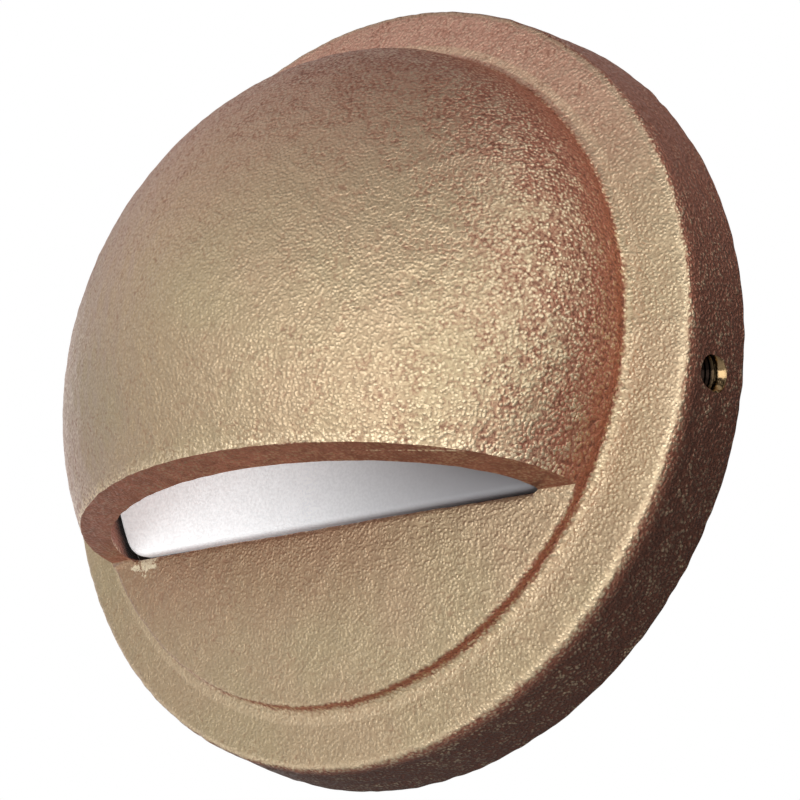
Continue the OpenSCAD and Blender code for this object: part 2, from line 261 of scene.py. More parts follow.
LIP_WAY = (0, -math.sin(tilt), -math.cos(tilt))
LIP_AT = -hood_edge_y * math.cos(tilt) + ring_depth * math.sin(tilt)
IN_FRONT_OF_RING = (-9.2, -9.8)
print("lip plane at", round(LIP_AT, 2), "mm")

# %% [markdown]
# The height is half fine noise and half round grains, because the noise alone
# looks like worms, and the grains alone look like shot. Its values run from
# 0.3 in the creases to 0.7 on the tips.

# %% Height of the grain
GRAIN = 0.40
SWELL = 0.46


def grain_height(tree, where):
    """The height that colour, metal and relief all read."""
    swell = noise_of(tree, where, SWELL, detail=2.5, rough=0.62)
    grains = spread(tree, grains_of(tree, where, GRAIN), 0, 1, 0.30, 0.70)
    mix = add(tree, "Mix", {"Factor": 0.5, "A": swell, "B": grains}, data_type="FLOAT")
    return mix.outputs["Result"]


print("grains of", GRAIN, "mm and swells of", SWELL, "mm")

# %% [markdown]
# Bronze isn't one colour, so a single tint would look like paint. The metal
# drifts from gold to rose with height, the rose on top being painted shade, and
# the chin is painted duller under the eyelid, a painted shadow of the eyelid.
# Faces turned left are painted mauve, a painted reflection. The unworn skin is
# oxide, painted umber down the ring's side as painted shade. The filed lip is
# stained in small patches. Each change has a place, which the values below give
# in millimetres.

# %% Metal and oxide by place
DRIFT = 16
STAIN = 1.6
GOLD_TO_ROSE_Z = (-5, 42)
LID_SHADE_Z = (-36, -23)
LID_SHADE_X = (2, 26)
CHIN_RIM_Y = (-9.6, -10.4)
CHIN_CROWN_Y = (-13.2, -12.4)
SIDE_Y = (-(ring_depth - 0.4), -(ring_depth - 2.4))
UMBER_Z = (-30, 42)
LIP_DARKER_X = (4, 26)


def metal_and_painted_light(tree, where, place, normal):
    """The colour of the metal where wear and painted light reach, with painted shade on top, the
    eyelid's painted shadow on the chin and a painted reflection on faces turned left.
    """
    drift = spread(tree, noise_of(tree, where, DRIFT), 0.35, 0.65, 0.82, 1.0)
    # Rose toward the top is painted shade.
    golden = times(tree, drift, between(tree, place["Z"], *GOLD_TO_ROSE_Z, 1.0, 0.0))
    metal = blend_colours(tree, golden, PAINTED_SHADE_ROSE, GOLD)
    # The eyelid's painted shadow on the chin.
    painted_lid_shadow = times(tree, between(tree, place["Z"], *LID_SHADE_Z, 0.0, 0.34),
                      between(tree, place["X"], *LID_SHADE_X, 1.0, 0.0))
    on_chin = times(tree, between(tree, place["Y"], *CHIN_RIM_Y),
                    between(tree, place["Y"], *CHIN_CROWN_Y))
    metal = blend_colours(tree, times(tree, painted_lid_shadow, on_chin), metal, OXIDE)
    # Faces turned left take a painted reflection.
    across = add(tree, "SeparateXYZ", {0: normal}).outputs["X"]
    return blend_colours(tree, spread(tree, across, 0.0, -0.6, 0.0, 0.42), metal, PAINTED_REFLECTION_MAUVE)


def unworn_and_shaded_skin(tree, where, place, on_side, filed):
    """The colour of the oxide where wear and painted light don't reach, painted umber low on the
    side as painted shade.
    """
    # Painted shade: the side turns umber low down.
    painted_shade_low = times(tree, on_side, between(tree, place["Z"], *UMBER_Z, 1.0, 0.0))
    flank = blend_colours(tree, painted_shade_low, OXIDE, UMBER)
    stained = spread(tree, noise_of(tree, where, STAIN, detail=3.0, rough=0.6), 0.35, 0.65)
    lip_skin = blend_colours(tree, stained, *FILED)
    darker = between(tree, place["X"], *LIP_DARKER_X, 0.0, 0.35)
    lip_skin = blend_colours(tree, darker, lip_skin, UMBER)
    return blend_colours(tree, filed, flank, lip_skin)


print("gold to rose from", GOLD_TO_ROSE_Z[0], "to", GOLD_TO_ROSE_Z[1], "mm up")

# %% [markdown]
# Wear starts on the tips of the grain. On faces that look forward the gold is
# painted light, weaker on top and on the side as painted shade. It could be
# painted by hand. A sum of the normal, the height and some noise does it evenly
# all round, and stays right when the shape changes. It is patchy. On half-turned
# faces the tips alone are bright, a painted glint.

# %% How far the wear and the painted light reach
PATCH = 3.2
TIP_LEAD = 0.22
LESS_ON_TOP_Z = (-5, 35)


def wear_and_painted_light_reach(tree, where, place, height, forward, on_side):
    """0 where the skin is untouched to 1 where it shows the metal: wear on the tips, painted light
    on forward faces.
    """
    lead = spread(tree, height, 0.3, 0.7, -TIP_LEAD, TIP_LEAD)
    less_on_top = between(tree, place["Z"], *LESS_ON_TOP_Z, 0.06, -0.10)
    lumps = noise_of(tree, where, PATCH, detail=3.0, rough=0.6)
    patchy = spread(tree, lumps, 0.3, 0.7, -0.12, 0.12)
    less_on_side = spread(tree, on_side, 0, 1, 0.0, -0.12)
    # Facing forward brings the gold as painted light; less on top and on the side is painted shade.
    reach = forward
    for change in (lead, less_on_top, patchy, less_on_side):
        reach = plus(tree, reach, change)
    return spread(tree, reach, 0.2, 0.92)


def painted_glint_tips(tree, height, forward):
    """The share of painted glint on the tips of half-turned faces."""
    half_turned = times(tree, spread(tree, forward, 0.22, 0.50),
                        spread(tree, forward, 0.6, 0.95, 0.8, 0.3))
    return times(tree, half_turned, spread(tree, height, 0.50, 0.66))


print("the tips of the grain lead by", TIP_LEAD)

# %% [markdown]
# The ring's two edges, its face at the right and left, and the lip's outer edge
# get painted highlights. At the slot's left end the chin has a small painted
# highlight. It is the inside of a squeezed ball whose surface noise makes ragged.

# %% Painted highlights on the edges and the chin
EDGE_SHARE = 0.36
OUTER_EDGE_R = (47.3, 47.7)
OUTER_EDGE_Y = (-8.4, -8.6)
INNER_EDGE_R = ((42.2, 42.4), (43.5, 43.1))
FACE_HIGHLIGHT_X = (38, 46)
FACE_HIGHLIGHT_Z = (0, 20)
HOOD_Y = (-12, -14)
HIGHLIGHT_SPOT = (-28.3, -10.9, -22.1)
HIGHLIGHT_SPOT_SQUEEZE = 0.6
HIGHLIGHT_SPOT_R = (0.8, 1.2)


def painted_edge_highlights(tree, where, place, forward):
    """Painted highlights along the ring's outer and inner edge."""
    radius = radius_of(tree, where)
    outer_edge = times(tree, between(tree, radius, *OUTER_EDGE_R),
                       between(tree, place["Y"], *OUTER_EDGE_Y))
    rises, falls = INNER_EDGE_R
    inner_edge = times(tree, between(tree, radius, *rises), between(tree, radius, *falls))
    facing = spread(tree, forward, 0.5, 0.9)
    return times(tree, EDGE_SHARE, times(tree, facing, plus(tree, outer_edge, inner_edge)))


def painted_face_highlight(tree, place, forward):
    """A painted highlight on the ring's face at the right and left, most of it low down."""
    aside = add(tree, "Math", {0: place["X"]}, operation="ABSOLUTE").outputs["Value"]
    below = between(tree, place["Z"], *FACE_HIGHLIGHT_Z, 1.0, 0.3)
    facing = times(tree, below, spread(tree, forward, 0.8, 0.95))
    return times(tree, between(tree, aside, *FACE_HIGHLIGHT_X, 0.0, 0.3), facing)


def painted_lip_highlight(tree, where, place, height, filed):
    """A painted highlight on the hood's last millimetre before the lip."""
    near_cut = between(tree, toward(tree, where, LIP_WAY), LIP_AT - 1.4, LIP_AT - 0.1)
    on_hood = times(tree, between(tree, place["Y"], *HOOD_Y), spread(tree, filed, 0, 1, 0.8, 0.0))
    return times(tree, times(tree, near_cut, on_hood), spread(tree, height, 0.4, 0.55))


def painted_highlight_spot(tree, where):
    """A ragged painted highlight round one point of the chin."""
    squeezed = add(tree, "VectorMath", {0: where, 1: (HIGHLIGHT_SPOT_SQUEEZE, 1, 1)},
                   operation="MULTIPLY").outputs["Vector"]
    centre = (HIGHLIGHT_SPOT[0] * HIGHLIGHT_SPOT_SQUEEZE * MM, HIGHLIGHT_SPOT[1] * MM, HIGHLIGHT_SPOT[2] * MM)
    away = add(tree, "VectorMath", {0: squeezed, 1: centre}, operation="DISTANCE").outputs["Value"]
    lumps = noise_of(tree, where, 1.0, detail=4.0, rough=0.7)
    ragged = plus(tree, away, spread(tree, lumps, 0.3, 0.7, -1.2 * MM, 1.2 * MM))
    return between(tree, ragged, *HIGHLIGHT_SPOT_R, 0.9, 0.0)


# The centre of the painted highlight at the chin's left end.
print("scrape at", HIGHLIGHT_SPOT, "mm")

# %% [markdown]
# The layers then go over one another: oxide, metal, painted glints and painted
# highlights, dark creases, and black painted shade deep inside the hood. Creases
# are rougher and less metallic. The relief is deepest where wear and painted
# light don't reach.

# %% Cast bronze
CREASE_SHARE = (0.95, 0.22)
RELIEF_DEPTH = (0.40, 0.22)
PAINTED_SHADE_MARK = "core"


def make_cast_bronze():
    """The skin of the whole casting, but for what is turned and drilled."""
    material, tree, shader, where = finish("bronze_as_cast", Specular_IOR_Level=0.5)
    place = add(tree, "SeparateXYZ", {0: where}).outputs
    normal = add(tree, "TexCoord").outputs["Normal"]
    forward = toward(tree, normal, OUT_OF_WALL)
    height = grain_height(tree, where)
    on_side = between(tree, place["Y"], *SIDE_Y)
    filed = times(tree, spread(tree, toward(tree, normal, LIP_WAY), 0.97, 0.99),
                  between(tree, place["Y"], *IN_FRONT_OF_RING))
    # The gold reaches by wear on the tips and by painted light on faces turned forward.
    worn_and_lit = wear_and_painted_light_reach(tree, where, place, height, forward, on_side)
    painted_spot = painted_highlight_spot(tree, where)

    skin = blend_colours(tree, worn_and_lit, unworn_and_shaded_skin(tree, where, place, on_side, filed),
                         metal_and_painted_light(tree, where, place, normal))
    # Painted glints and painted highlights go over the skin.
    for share, colour in ((painted_glint_tips(tree, height, forward), GLINT),
                          (painted_edge_highlights(tree, where, place, forward), GLINT),
                          (painted_face_highlight(tree, place, forward), GLINT),
                          (painted_spot, PAINTED_SPOT_COLOUR),
                          (painted_lip_highlight(tree, where, place, height, filed), GLINT)):
        skin = blend_colours(tree, share, skin, colour)

    crease = times(tree, spread(tree, worn_and_lit, 0, 1, *CREASE_SHARE),
                   spread(tree, height, 0.30, 0.45, 1.0, 0.0))
    crease = times(tree, crease, spread(tree, filed, 0, 1, 1.0, 0.3))
    crease = times(tree, crease, spread(tree, painted_spot, 0, 1, 1.0, 0.0))
    # Deep inside the hood the skin is painted black: painted shade.
    core = add(tree, "Attribute", attribute_name=PAINTED_SHADE_MARK).outputs["Fac"]
    outside = blend_colours(tree, crease, skin, CREASE)
    tree.links.new(blend_colours(tree, core, outside, PAINTED_SHADE_BLACK), shader.inputs["Base Color"])
    metallic = times(tree, spread(tree, crease, 0, 1, 0.82, 0.6),
                     spread(tree, painted_spot, 0, 1, 1.0, 0.4))
    tree.links.new(metallic, shader.inputs["Metallic"])
    tree.links.new(spread(tree, height, 0.35, 0.65, 0.56, 0.30), shader.inputs["Roughness"])
    unworn_mm, worn_mm = RELIEF_DEPTH
    skin_depth = times(tree, spread(tree, worn_and_lit, 0, 1, unworn_mm * MM, worn_mm * MM),
                       spread(tree, filed, 0, 1, 1.0, 0.5))
    bump = add(tree, "Bump", {"Height": height, "Distance": skin_depth})
    tree.links.new(bump.outputs["Normal"], shader.inputs["Normal"])
    return material


cast_bronze = make_cast_bronze()
print("finish:", cast_bronze.name, "with", len(cast_bronze.node_tree.nodes), "nodes")

# %% [markdown]
# Two more finishes show where tools went in: turned faces, with a faint drawn
# grain, and the threaded holes, bright at the mouth and painted dark inside as
# painted shade.

# %% Turned and drilled bronze
HOLE_MOUTH_R = (48.3, 49.3)


def make_turned_bronze():
    """Fresh metal where the lathe went in."""
    material, tree, shader, where = finish("bronze_as_turned", Metallic=1.0)
    marks = noise_of(tree, where, 0.2, detail=2.0)
    tree.links.new(blend_colours(tree, marks, rgb(172, 134, 92), rgb(204, 168, 122)),
                   shader.inputs["Base Color"])
    tree.links.new(spread(tree, marks, 0, 1, 0.28, 0.42), shader.inputs["Roughness"])
    tree.links.new(relief(tree, marks, 0.01), shader.inputs["Normal"])
    return material


def make_drilled_bronze():
    """A threaded hole: bright at its mouth and painted dark inside, as painted shade."""
    material, tree, shader, where = finish("bronze_drilled", Metallic=1.0, Roughness=0.2)
    # The inside of the hole is painted dark: painted shade.
    inside = between(tree, radius_of(tree, where), *HOLE_MOUTH_R, 1.0, 0.0)
    tree.links.new(blend_colours(tree, inside, rgb(160, 134, 98), PAINTED_SHADE_BLACK),
                   shader.inputs["Base Color"])
    tree.links.new(relief(tree, noise_of(tree, where, 0.25), 0.02), shader.inputs["Normal"])
    return material


turned_bronze = make_turned_bronze()
drilled_bronze = make_drilled_bronze()
print("finishes:", turned_bronze.name, drilled_bronze.name)

# %% [markdown]
# ## The shape of the casting
# Nearly every piece of this light is round, so the lathe comes first. A round
# piece could be a cylinder whose rings are moved one by one. Here an outline is
# drawn instead, vertex by vertex, and spun once round the axis. That is how the
# pattern is made, and each size stands in one place.

# %% The lathe
FULL_TURN = math.radians(360)
LATHE_STEPS = 192


def start_profile(x, z):
    """A new bmesh with one vertex, the start of a lathe template in the xz plane."""
    bm = bmesh.new()
    return bm, bm.verts.new((x, 0, z))


def vertices_of(geometry):
    """The vertices among what an operator gives back."""
    return [g for g in geometry if isinstance(g, bmesh.types.BMVert)]


def line_to(bm, vertex, x, z):
    """A straight run from the template's last vertex."""
    tip = bmesh.ops.extrude_vert_indiv(bm, verts=[vertex])["verts"][0]
    tip.co = (x, 0, z)
    return tip


def arc_to(bm, vertex, x, z, degrees, steps):
    """A run round the centre x, z; positive degrees turn from x toward z."""
    swept = bmesh.ops.spin(bm, geom=[vertex], cent=(x, 0, z), axis=(0, -1, 0),
                           angle=math.radians(degrees), steps=steps)
    return vertices_of(swept["geom_last"])[0]


def lathe(bm, steps):
    """Turns the template once round the z axis and closes it."""
    bmesh.ops.spin(bm, geom=bm.verts[:] + bm.edges[:], cent=(0, 0, 0), axis=(0, 0, 1),
                   angle=FULL_TURN, steps=steps, use_merge=True)
    bmesh.ops.remove_doubles(bm, verts=bm.verts, dist=0.001)
    bmesh.ops.recalc_face_normals(bm, faces=bm.faces)
    return bm


def turned(points, steps):
    """A lathed solid from straight runs between points (radius, depth)."""
    bm, tip = start_profile(*points[0])
    for x, z in points[1:]:
        tip = line_to(bm, tip, x, z)
    return lathe(bm, steps)


print("one turn of the lathe:", LATHE_STEPS, "steps")

# %% [markdown]
# A bmesh is only a shape. To saw and drill it with modifiers it has to be an
# object, the workpiece, with a mesh that knows its finishes.

# %% The workpiece
def workpiece(name, bm, finishes=(), finish=0):
    """An object in millimetres to work on. Its faces take one of its finishes."""
    for face in bm.faces:
        face.material_index = finish
        face.smooth = True
    mesh = bpy.data.meshes.new(name)
    bm.to_mesh(mesh)
    bm.free()
    for material in finishes:
        mesh.materials.append(material)
    obj = bpy.data.objects.new(name, mesh)
    bpy.context.scene.collection.objects.link(obj)
    return obj


def count_triangles(obj):
    return sum(len(p.vertices) - 2 for p in obj.data.polygons)


print("the triangles of the CAD cover:", count_triangles(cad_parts["hood_cover"]))

# %% [markdown]
# The ring and the chin are one lathe template: the back, the drafted side, a
# rounded edge, the flat face, a small fillet and the chin's crown. Points on
# the crown follow a parabola, as a shallow dome does.

# %% The ring and the chin
stock = 2.0
slope = math.radians(side_draft)
corner_x = ring_face_r - pattern_edge_r * (1 - math.sin(slope)) / math.cos(slope)
corner_z = ring_depth - pattern_edge_r
chin_front = ring_depth + chin_rim_rise
crown_x = dome_r - pattern_chin_r


def crown_points(shares, above=0.0):
    """Points of the chin's crown, from its rim at share 1 to its middle at 0."""
    return [(crown_x * share, chin_front + chin_crown * (1 - share ** 2) + above)
            for share in shares]


bm, tip = start_profile(0, -stock)
tip = line_to(bm, tip, ring_back_r + stock * math.tan(slope), -stock)
tip = line_to(bm, tip, corner_x + pattern_edge_r * math.cos(slope),
              corner_z + pattern_edge_r * math.sin(slope))
tip = arc_to(bm, tip, corner_x, corner_z, 90 - side_draft, 8)
tip = line_to(bm, tip, dome_r + pattern_fillet_r, ring_depth)
tip = arc_to(bm, tip, dome_r + pattern_fillet_r, ring_depth + pattern_fillet_r, -90, 8)
tip = line_to(bm, tip, dome_r, chin_front - pattern_chin_r)
tip = arc_to(bm, tip, crown_x, chin_front - pattern_chin_r, 90, 6)
for x, z in crown_points((0.9, 0.8, 0.6, 0.4, 0.2, 0.0)):
    tip = line_to(bm, tip, x, z)
ring_pattern = workpiece("casting", lathe(bm, LATHE_STEPS))
print("ring and chin:", len(ring_pattern.data.polygons), "faces")

# %% [markdown]
# Metal is joined by pouring and parted by saw, file and drill. In Blender a
# plane parts a closed shape cleanly. Curved cuts and joins are Boolean
# modifiers, whose result is baked into the mesh after each step, so that the
# next tool meets real faces.

# %% Joining and cutting
def bake_modifiers(obj):
    """The modifiers' result becomes the object's own mesh."""
    bpy.context.view_layer.update()
    graph = bpy.context.evaluated_depsgraph_get()
    mesh = bpy.data.meshes.new_from_object(obj.evaluated_get(graph))
    obj.modifiers.clear()
    old, obj.data = obj.data, mesh
    bpy.data.meshes.remove(old)


def combine(obj, tool, operation):
    """Cuts the tool from obj, or joins it on, and puts the tool away."""
    step = obj.modifiers.new("step", "BOOLEAN")
    step.solver = "MANIFOLD"
    step.operation = operation
    step.object = tool
    bake_modifiers(obj)
    bpy.data.objects.remove(tool)
    return obj


def sawn(bm, point, outward):
    """Saws a closed shape off at a plane and closes the cut."""
    bmesh.ops.bisect_plane(bm, geom=bm.verts[:] + bm.edges[:] + bm.faces[:],
                           plane_co=point, plane_no=outward, clear_outer=True)
    bmesh.ops.holes_fill(bm, edges=[e for e in bm.edges if e.is_boundary], sides=0)
    bmesh.ops.recalc_face_normals(bm, faces=bm.faces)
    return bm


def break_edges(obj, on_edge, offset):
    """Bevels the sharp edges of a workpiece that lie where on_edge says."""
    bm = bmesh.new()
    bm.from_mesh(obj.data)
    bmesh.ops.remove_doubles(bm, verts=bm.verts, dist=0.002)
    edges = [e for e in bm.edges if e.is_manifold and all(on_edge(v.co) for v in e.verts)
             and e.calc_face_angle() > math.radians(25)]
    bmesh.ops.bevel(bm, geom=edges, affect="EDGES", offset=offset, segments=3, profile=0.5,
                    material=-1, clamp_overlap=True)
    bm.to_mesh(obj.data)
    bm.free()
    print(obj.name, "edges broken:", len(edges))


print("saw, Boolean and bevel are ready")

# %% [markdown]
# The hood is a dome spun from its outline and sawn off along a tilted plane.
# What stays above the cut is the eyelid. The pattern leaves half a millimetre
# on the lip, for the file. A core hollows dome and ring, and stops at the
# chin's straight top, whose sharp edge is broken with a small bevel.

# %% The hood and its core
DOME_STEPS = 48
FILE_STOCK = 0.5
CHIN_TOP_BEVEL = 0.4


def dome_points(radius, rise):
    """The dome's outline from foot to apex, a curve a little flatter than an ellipse."""
    plan, front = DOME_POWERS
    return [(radius * math.cos(a) ** (2 / plan), ring_depth + rise * math.sin(a) ** (2 / front))
            for a in (math.radians(90 * i / DOME_STEPS) for i in range(DOME_STEPS + 1))]


cut_point = Vector((0, hood_edge_y, ring_depth))
cut_normal = Vector((0, -math.cos(tilt), math.sin(tilt)))
rough_cut = cut_point + FILE_STOCK * cut_normal
root = ring_depth - 2
dome = turned([(0, root), (dome_r, root)] + dome_points(dome_r, dome_rise), LATHE_STEPS)
hood = workpiece("hood", sawn(dome, rough_cut, cut_normal))
room = turned([(0, 0), (hollow_r, 0), (hollow_r, ring_depth)]
              + dome_points(hollow_r, hollow_rise), LATHE_STEPS)
combine(hood, workpiece("room", room), "DIFFERENCE")

core = sawn(turned([(0, -2 * stock), (hollow_r, -2 * stock), (hollow_r, 3 * ring_depth),
                    (0, 3 * ring_depth)], LATHE_STEPS), (0, chin_top_y, 0), (0, -1, 0))
combine(ring_pattern, workpiece("core", core), "DIFFERENCE")
break_edges(ring_pattern, lambda co: abs(co.y - chin_top_y) < 0.01 and co.z > ring_depth,
            CHIN_TOP_BEVEL)
casting = combine(ring_pattern, hood, "UNION")
print("pattern:", count_triangles(casting), "triangles")

# %% [markdown]
# Metal never fills a sharp corner of the sand. A voxel remesh rebuilds the
# skin as an even net of faces a third of a millimetre wide, and smoothing then
# rounds every edge and joint as the pour does. Bevels would do that only where
# the edges are clean, and here dome, ring and chin run into one another.

# %% Pouring the casting
VOXEL = 0.36
skin = casting.modifiers.new("skin", "REMESH")
skin.mode = "VOXEL"
skin.voxel_size = VOXEL
skin.use_smooth_shade = True
soften = casting.modifiers.new("soften", "SMOOTH")
soften.factor = 0.5
soften.iterations = 5
bake_modifiers(casting)
print("skin:", count_triangles(casting), "triangles")

# %% [markdown]
# No sand casting is even, and its highlights wander a little for it. Two
# noises, a broad and a fine one, dent the skin by a tenth of a millimetre on
# the whole and about a fifth at most. The dents go inward, so that the casting
# stays inside its drawing.

# %% Uneven skin
DENT = 0.16
BROAD_DENTS = 6.0
FINE_DENTS = 1.7
ELSEWHERE = Vector((7, 3, 1))
deepest = 0.0
bm = bmesh.new()
bm.from_mesh(casting.data)
for vertex in bm.verts:
    broad = noise.noise(vertex.co / BROAD_DENTS)
    fine = noise.noise(vertex.co / FINE_DENTS + ELSEWHERE)
    depth = 0.65 + 0.3 * broad + 0.6 * fine
    vertex.co -= vertex.normal * DENT * depth
    deepest = max(deepest, DENT * depth)
bm.to_mesh(casting.data)
bm.free()
print("deepest dent:", round(deepest, 2), "mm")

# %% [markdown]
# The lip is filed flat once the metal is cold, which gives the mouth a clean
# edge. The file is a block that ends at the lip's true plane. A guard in the
# chin's own shape, a little thicker, is cut from it first, so that it meets
# only the metal that the pattern left on.

# %% Filing the lip
GUARD = 0.1
bm = bmesh.new()
bmesh.ops.create_cube(bm, size=1)
bmesh.ops.scale(bm, vec=(2.4 * dome_r, 2 * dome_r, dome_r), verts=bm.verts)
bmesh.ops.translate(bm, vec=(0, -dome_r, ring_depth + dome_r / 2), verts=bm.verts)
file = workpiece("file", sawn(bm, cut_point, -cut_normal))
crown = crown_points((1.0, 0.9, 0.8, 0.6, 0.4, 0.2, 0.0), GUARD)
guard = turned([(0, 0), (2 * dome_r, 0), (2 * dome_r, chin_front + GUARD)] + crown, 96)
combine(file, workpiece("guard", guard), "DIFFERENCE")
combine(casting, file, "DIFFERENCE")
print("filed:", count_triangles(casting), "triangles")

# %% [markdown]
# The lathe and the drill come after the pour. The back is faced flat. Then
# come the bore for the wall plate, the pocket for the glass, the groove for the
# gasket and two cross holes for the set screws. These cuts stay crisp and show
# fresh metal, so the cutters carry the piece's other two finishes.

# %% Turning and drilling
bore_r = 43.4
bore_depth = 6.6
pocket_r = 39.6
pocket_chord_y = -23.6
pocket_floor = 9.0
groove = (46.1, 48.1, 1.2)
screw_hole_r = 1.8
screw_hole_depth = 4.6
screw_hole_angle = 12.6
screw_mouth_r = 49.46
chamfer = 0.18
OVERRUN = 1.0
bronzes = (cast_bronze, turned_bronze, drilled_bronze)
casting.data.materials.clear()
for material in bronzes:
    casting.data.materials.append(material)
print("slots:", [m.name if m else None for m in casting.data.materials])

back = turned([(0, -2 * stock), (2 * ring_back_r, -2 * stock), (2 * ring_back_r, 0), (0, 0)], 48)
combine(casting, workpiece("back", back, bronzes, 1), "DIFFERENCE")

bore = turned([(0, -OVERRUN), (bore_r, -OVERRUN), (bore_r, bore_depth), (0, bore_depth)],
              LATHE_STEPS)
combine(casting, workpiece("bore", bore, bronzes, 1), "DIFFERENCE")

pocket = sawn(turned([(0, bore_depth - OVERRUN), (pocket_r, bore_depth - OVERRUN),
                      (pocket_r, pocket_floor), (0, pocket_floor)], LATHE_STEPS),
              (0, pocket_chord_y, 0), (0, -1, 0))
combine(casting, workpiece("pocket", pocket, bronzes, 1), "DIFFERENCE")

inner, outer, depth = groove
ring = turned([(inner, -OVERRUN), (outer, -OVERRUN), (outer, depth), (inner, depth),
               (inner, -OVERRUN)], LATHE_STEPS)
combine(casting, workpiece("groove", ring, bronzes, 1), "DIFFERENCE")

# %% [markdown]
# The screw holes are threaded through and open into a small chamfer. Each is
# cut by a drill turned on the lathe, with the thread as a row of rings, and
# laid on the hole's axis, which slopes a little below the horizontal.

# %% Screw holes
thread_pitch = 0.5
thread_depth = 0.14
ROD_STEPS = 48


def on_screw_axis(bm, side):
    """Stands a lathed shape whose axis is z into the screw hole of one side."""
    heading = -screw_hole_angle if side > 0 else 180 + screw_hole_angle
    bmesh.ops.transform(bm, verts=bm.verts, matrix=(
        Matrix.Translation((0, 0, screw_hole_depth))
        @ Matrix.Rotation(math.radians(heading), 4, "Z")
        @ Matrix.Rotation(math.radians(90), 4, "Y")))
    return bm


crests = int((screw_mouth_r - chamfer - bore_r + OVERRUN) / thread_pitch * 2)
thread = [(screw_hole_r + (thread_depth if i % 2 else 0), bore_r - OVERRUN + i * thread_pitch / 2)
          for i in range(crests)]
for side in (1, -1):
    drill = turned([(0, bore_r - OVERRUN)] + thread + [
                    (screw_hole_r, screw_mouth_r - chamfer),
                    (screw_hole_r + 2 * chamfer, screw_mouth_r + chamfer),
                    (screw_hole_r + 2 * chamfer, screw_mouth_r + 2 * OVERRUN),
                    (0, screw_mouth_r + 2 * OVERRUN)], ROD_STEPS)
    combine(casting, workpiece("drill", on_screw_axis(drill, side), bronzes, 2), "DIFFERENCE")
print("drilled:", count_triangles(casting), "triangles")

# %% [markdown]
# A finished workpiece is still face on and in millimetres.

# %% Fitting on the wall
def fit_on_wall(obj, body, slot, *stands_for, sharp):
    obj.data.transform(ON_WALL)
    obj.data.shade_smooth()
    obj.data.set_sharp_from_angle(angle=math.radians(sharp))
    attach(obj, body)
    if stands_for:
        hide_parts(*stands_for)
    print(obj.name, count_triangles(obj), "triangles")


# %% [markdown]
# The net is finer than the piece needs once it is smooth, so the flattest
# faces are collapsed until the count fits. Then every vertex is told whether
# it lies deep inside the hood, where the skin is painted black as painted
# shade. The mark is a number on each vertex, which the finish reads by its name.

# %% Thinning the net and marking the painted shade
SKIN_TRIANGLES = 176000
PAINTED_SHADE_FRONT = 12.8
PAINTED_SHADE_FADE = 2.0
thin = casting.modifiers.new("thin", "DECIMATE")
thin.ratio = min(1.0, SKIN_TRIANGLES / count_triangles(casting))
bake_modifiers(casting)
plan, front = DOME_POWERS
mark = casting.data.attributes.new(PAINTED_SHADE_MARK, "FLOAT", "POINT")
for index, vertex in enumerate(casting.data.vertices):
    across = math.hypot(vertex.co.x, vertex.co.y) / hollow_r
    out = max(0.0, vertex.co.z - ring_depth) / hollow_rise
    inside = min(1.0, max(0.0, (1.06 - across ** plan - out ** front) / 0.04))
    deep = min(1.0, max(0.0, (PAINTED_SHADE_FRONT - vertex.co.z) / PAINTED_SHADE_FADE))
    above_chin = vertex.co.y > chin_top_y + 0.2 and vertex.co.z > 1
    mark.data[index].value = inside * deep if above_chin else 0.0
casting.name = "cover_casting"
fit_on_wall(casting, "cover", "cast_bronze", "hood_cover", sharp=50)

# %% [markdown]
# ## The glass
# The lens is a frosted disc with a straight lower edge. A step at its front
# fills the slot, and its edges are melted round, which shows as a soft line
# over the chin. The flange behind the step is what the seal holds. Frost could
# be rough glass that the light goes through. A white skin with a little painted
# glow of its own looks the same from outside and takes far less time. The glow
# is painted light, strongest at the left and weaker on the edges; the right end
# is painted grey as the hood's painted shadow, and the flange's front is painted
# black as painted shade.

# %% Frosted glass
FROST = 0.34
BLOOM = 2.4
LENS_ENDS_X = (-31, 39)
FLANGE_Y = (-9.0, -8.75)
PAINTED_GLOW = 0.55


def make_frosted_glass():
    """White frost with a painted glow, most at the left; the right end is the hood's painted
    shadow, and the flange's front is painted black as painted shade.
    """
    material, tree, shader, where = finish("glass_frosted", IOR=1.5)
    place = add(tree, "SeparateXYZ", {0: where}).outputs
    forward = toward(tree, add(tree, "TexCoord").outputs["Normal"], OUT_OF_WALL)
    frost = noise_of(tree, where, FROST)
    # The right end is painted grey: the hood's painted shadow.
    painted_hood_shadow = between(tree, place["X"], *LENS_ENDS_X)
    bloom = noise_of(tree, where, BLOOM)
    white = blend_colours(tree, bloom, rgb(232, 235, 238), rgb(246, 247, 249))
    frosted = blend_colours(tree, painted_hood_shadow, white, rgb(153, 153, 157))
    # The flange's front is painted black: painted shade.
    flange = times(tree, between(tree, place["Y"], *FLANGE_Y), spread(tree, forward, -0.2, 0.4))
    tree.links.new(blend_colours(tree, flange, frosted, PAINTED_SHADE_BLACK), shader.inputs["Base Color"])
    tree.links.new(spread(tree, frost, 0.2, 0.8, 0.42, 0.6), shader.inputs["Roughness"])
    tree.links.new(relief(tree, frost, 0.006), shader.inputs["Normal"])
    shader.inputs["Emission Color"].default_value = (1, 1, 1, 1)
    # The glow is painted light, fading to the right and on the edges.
    glow = times(tree, spread(tree, painted_hood_shadow, 0, 1, PAINTED_GLOW, 0.0),
                 spread(tree, forward, 0.5, 1.0, 0.6, 1.0))
    lit = times(tree, glow, spread(tree, flange, 0, 1, 1.0, 0.0))
    speckle = spread(tree, frost, 0.38, 0.62, 0.84, 1.08)
    tree.links.new(times(tree, lit, speckle), shader.inputs["Emission Strength"])
    return material


frosted_glass = make_frosted_glass()
print("finish:", frosted_glass.name)

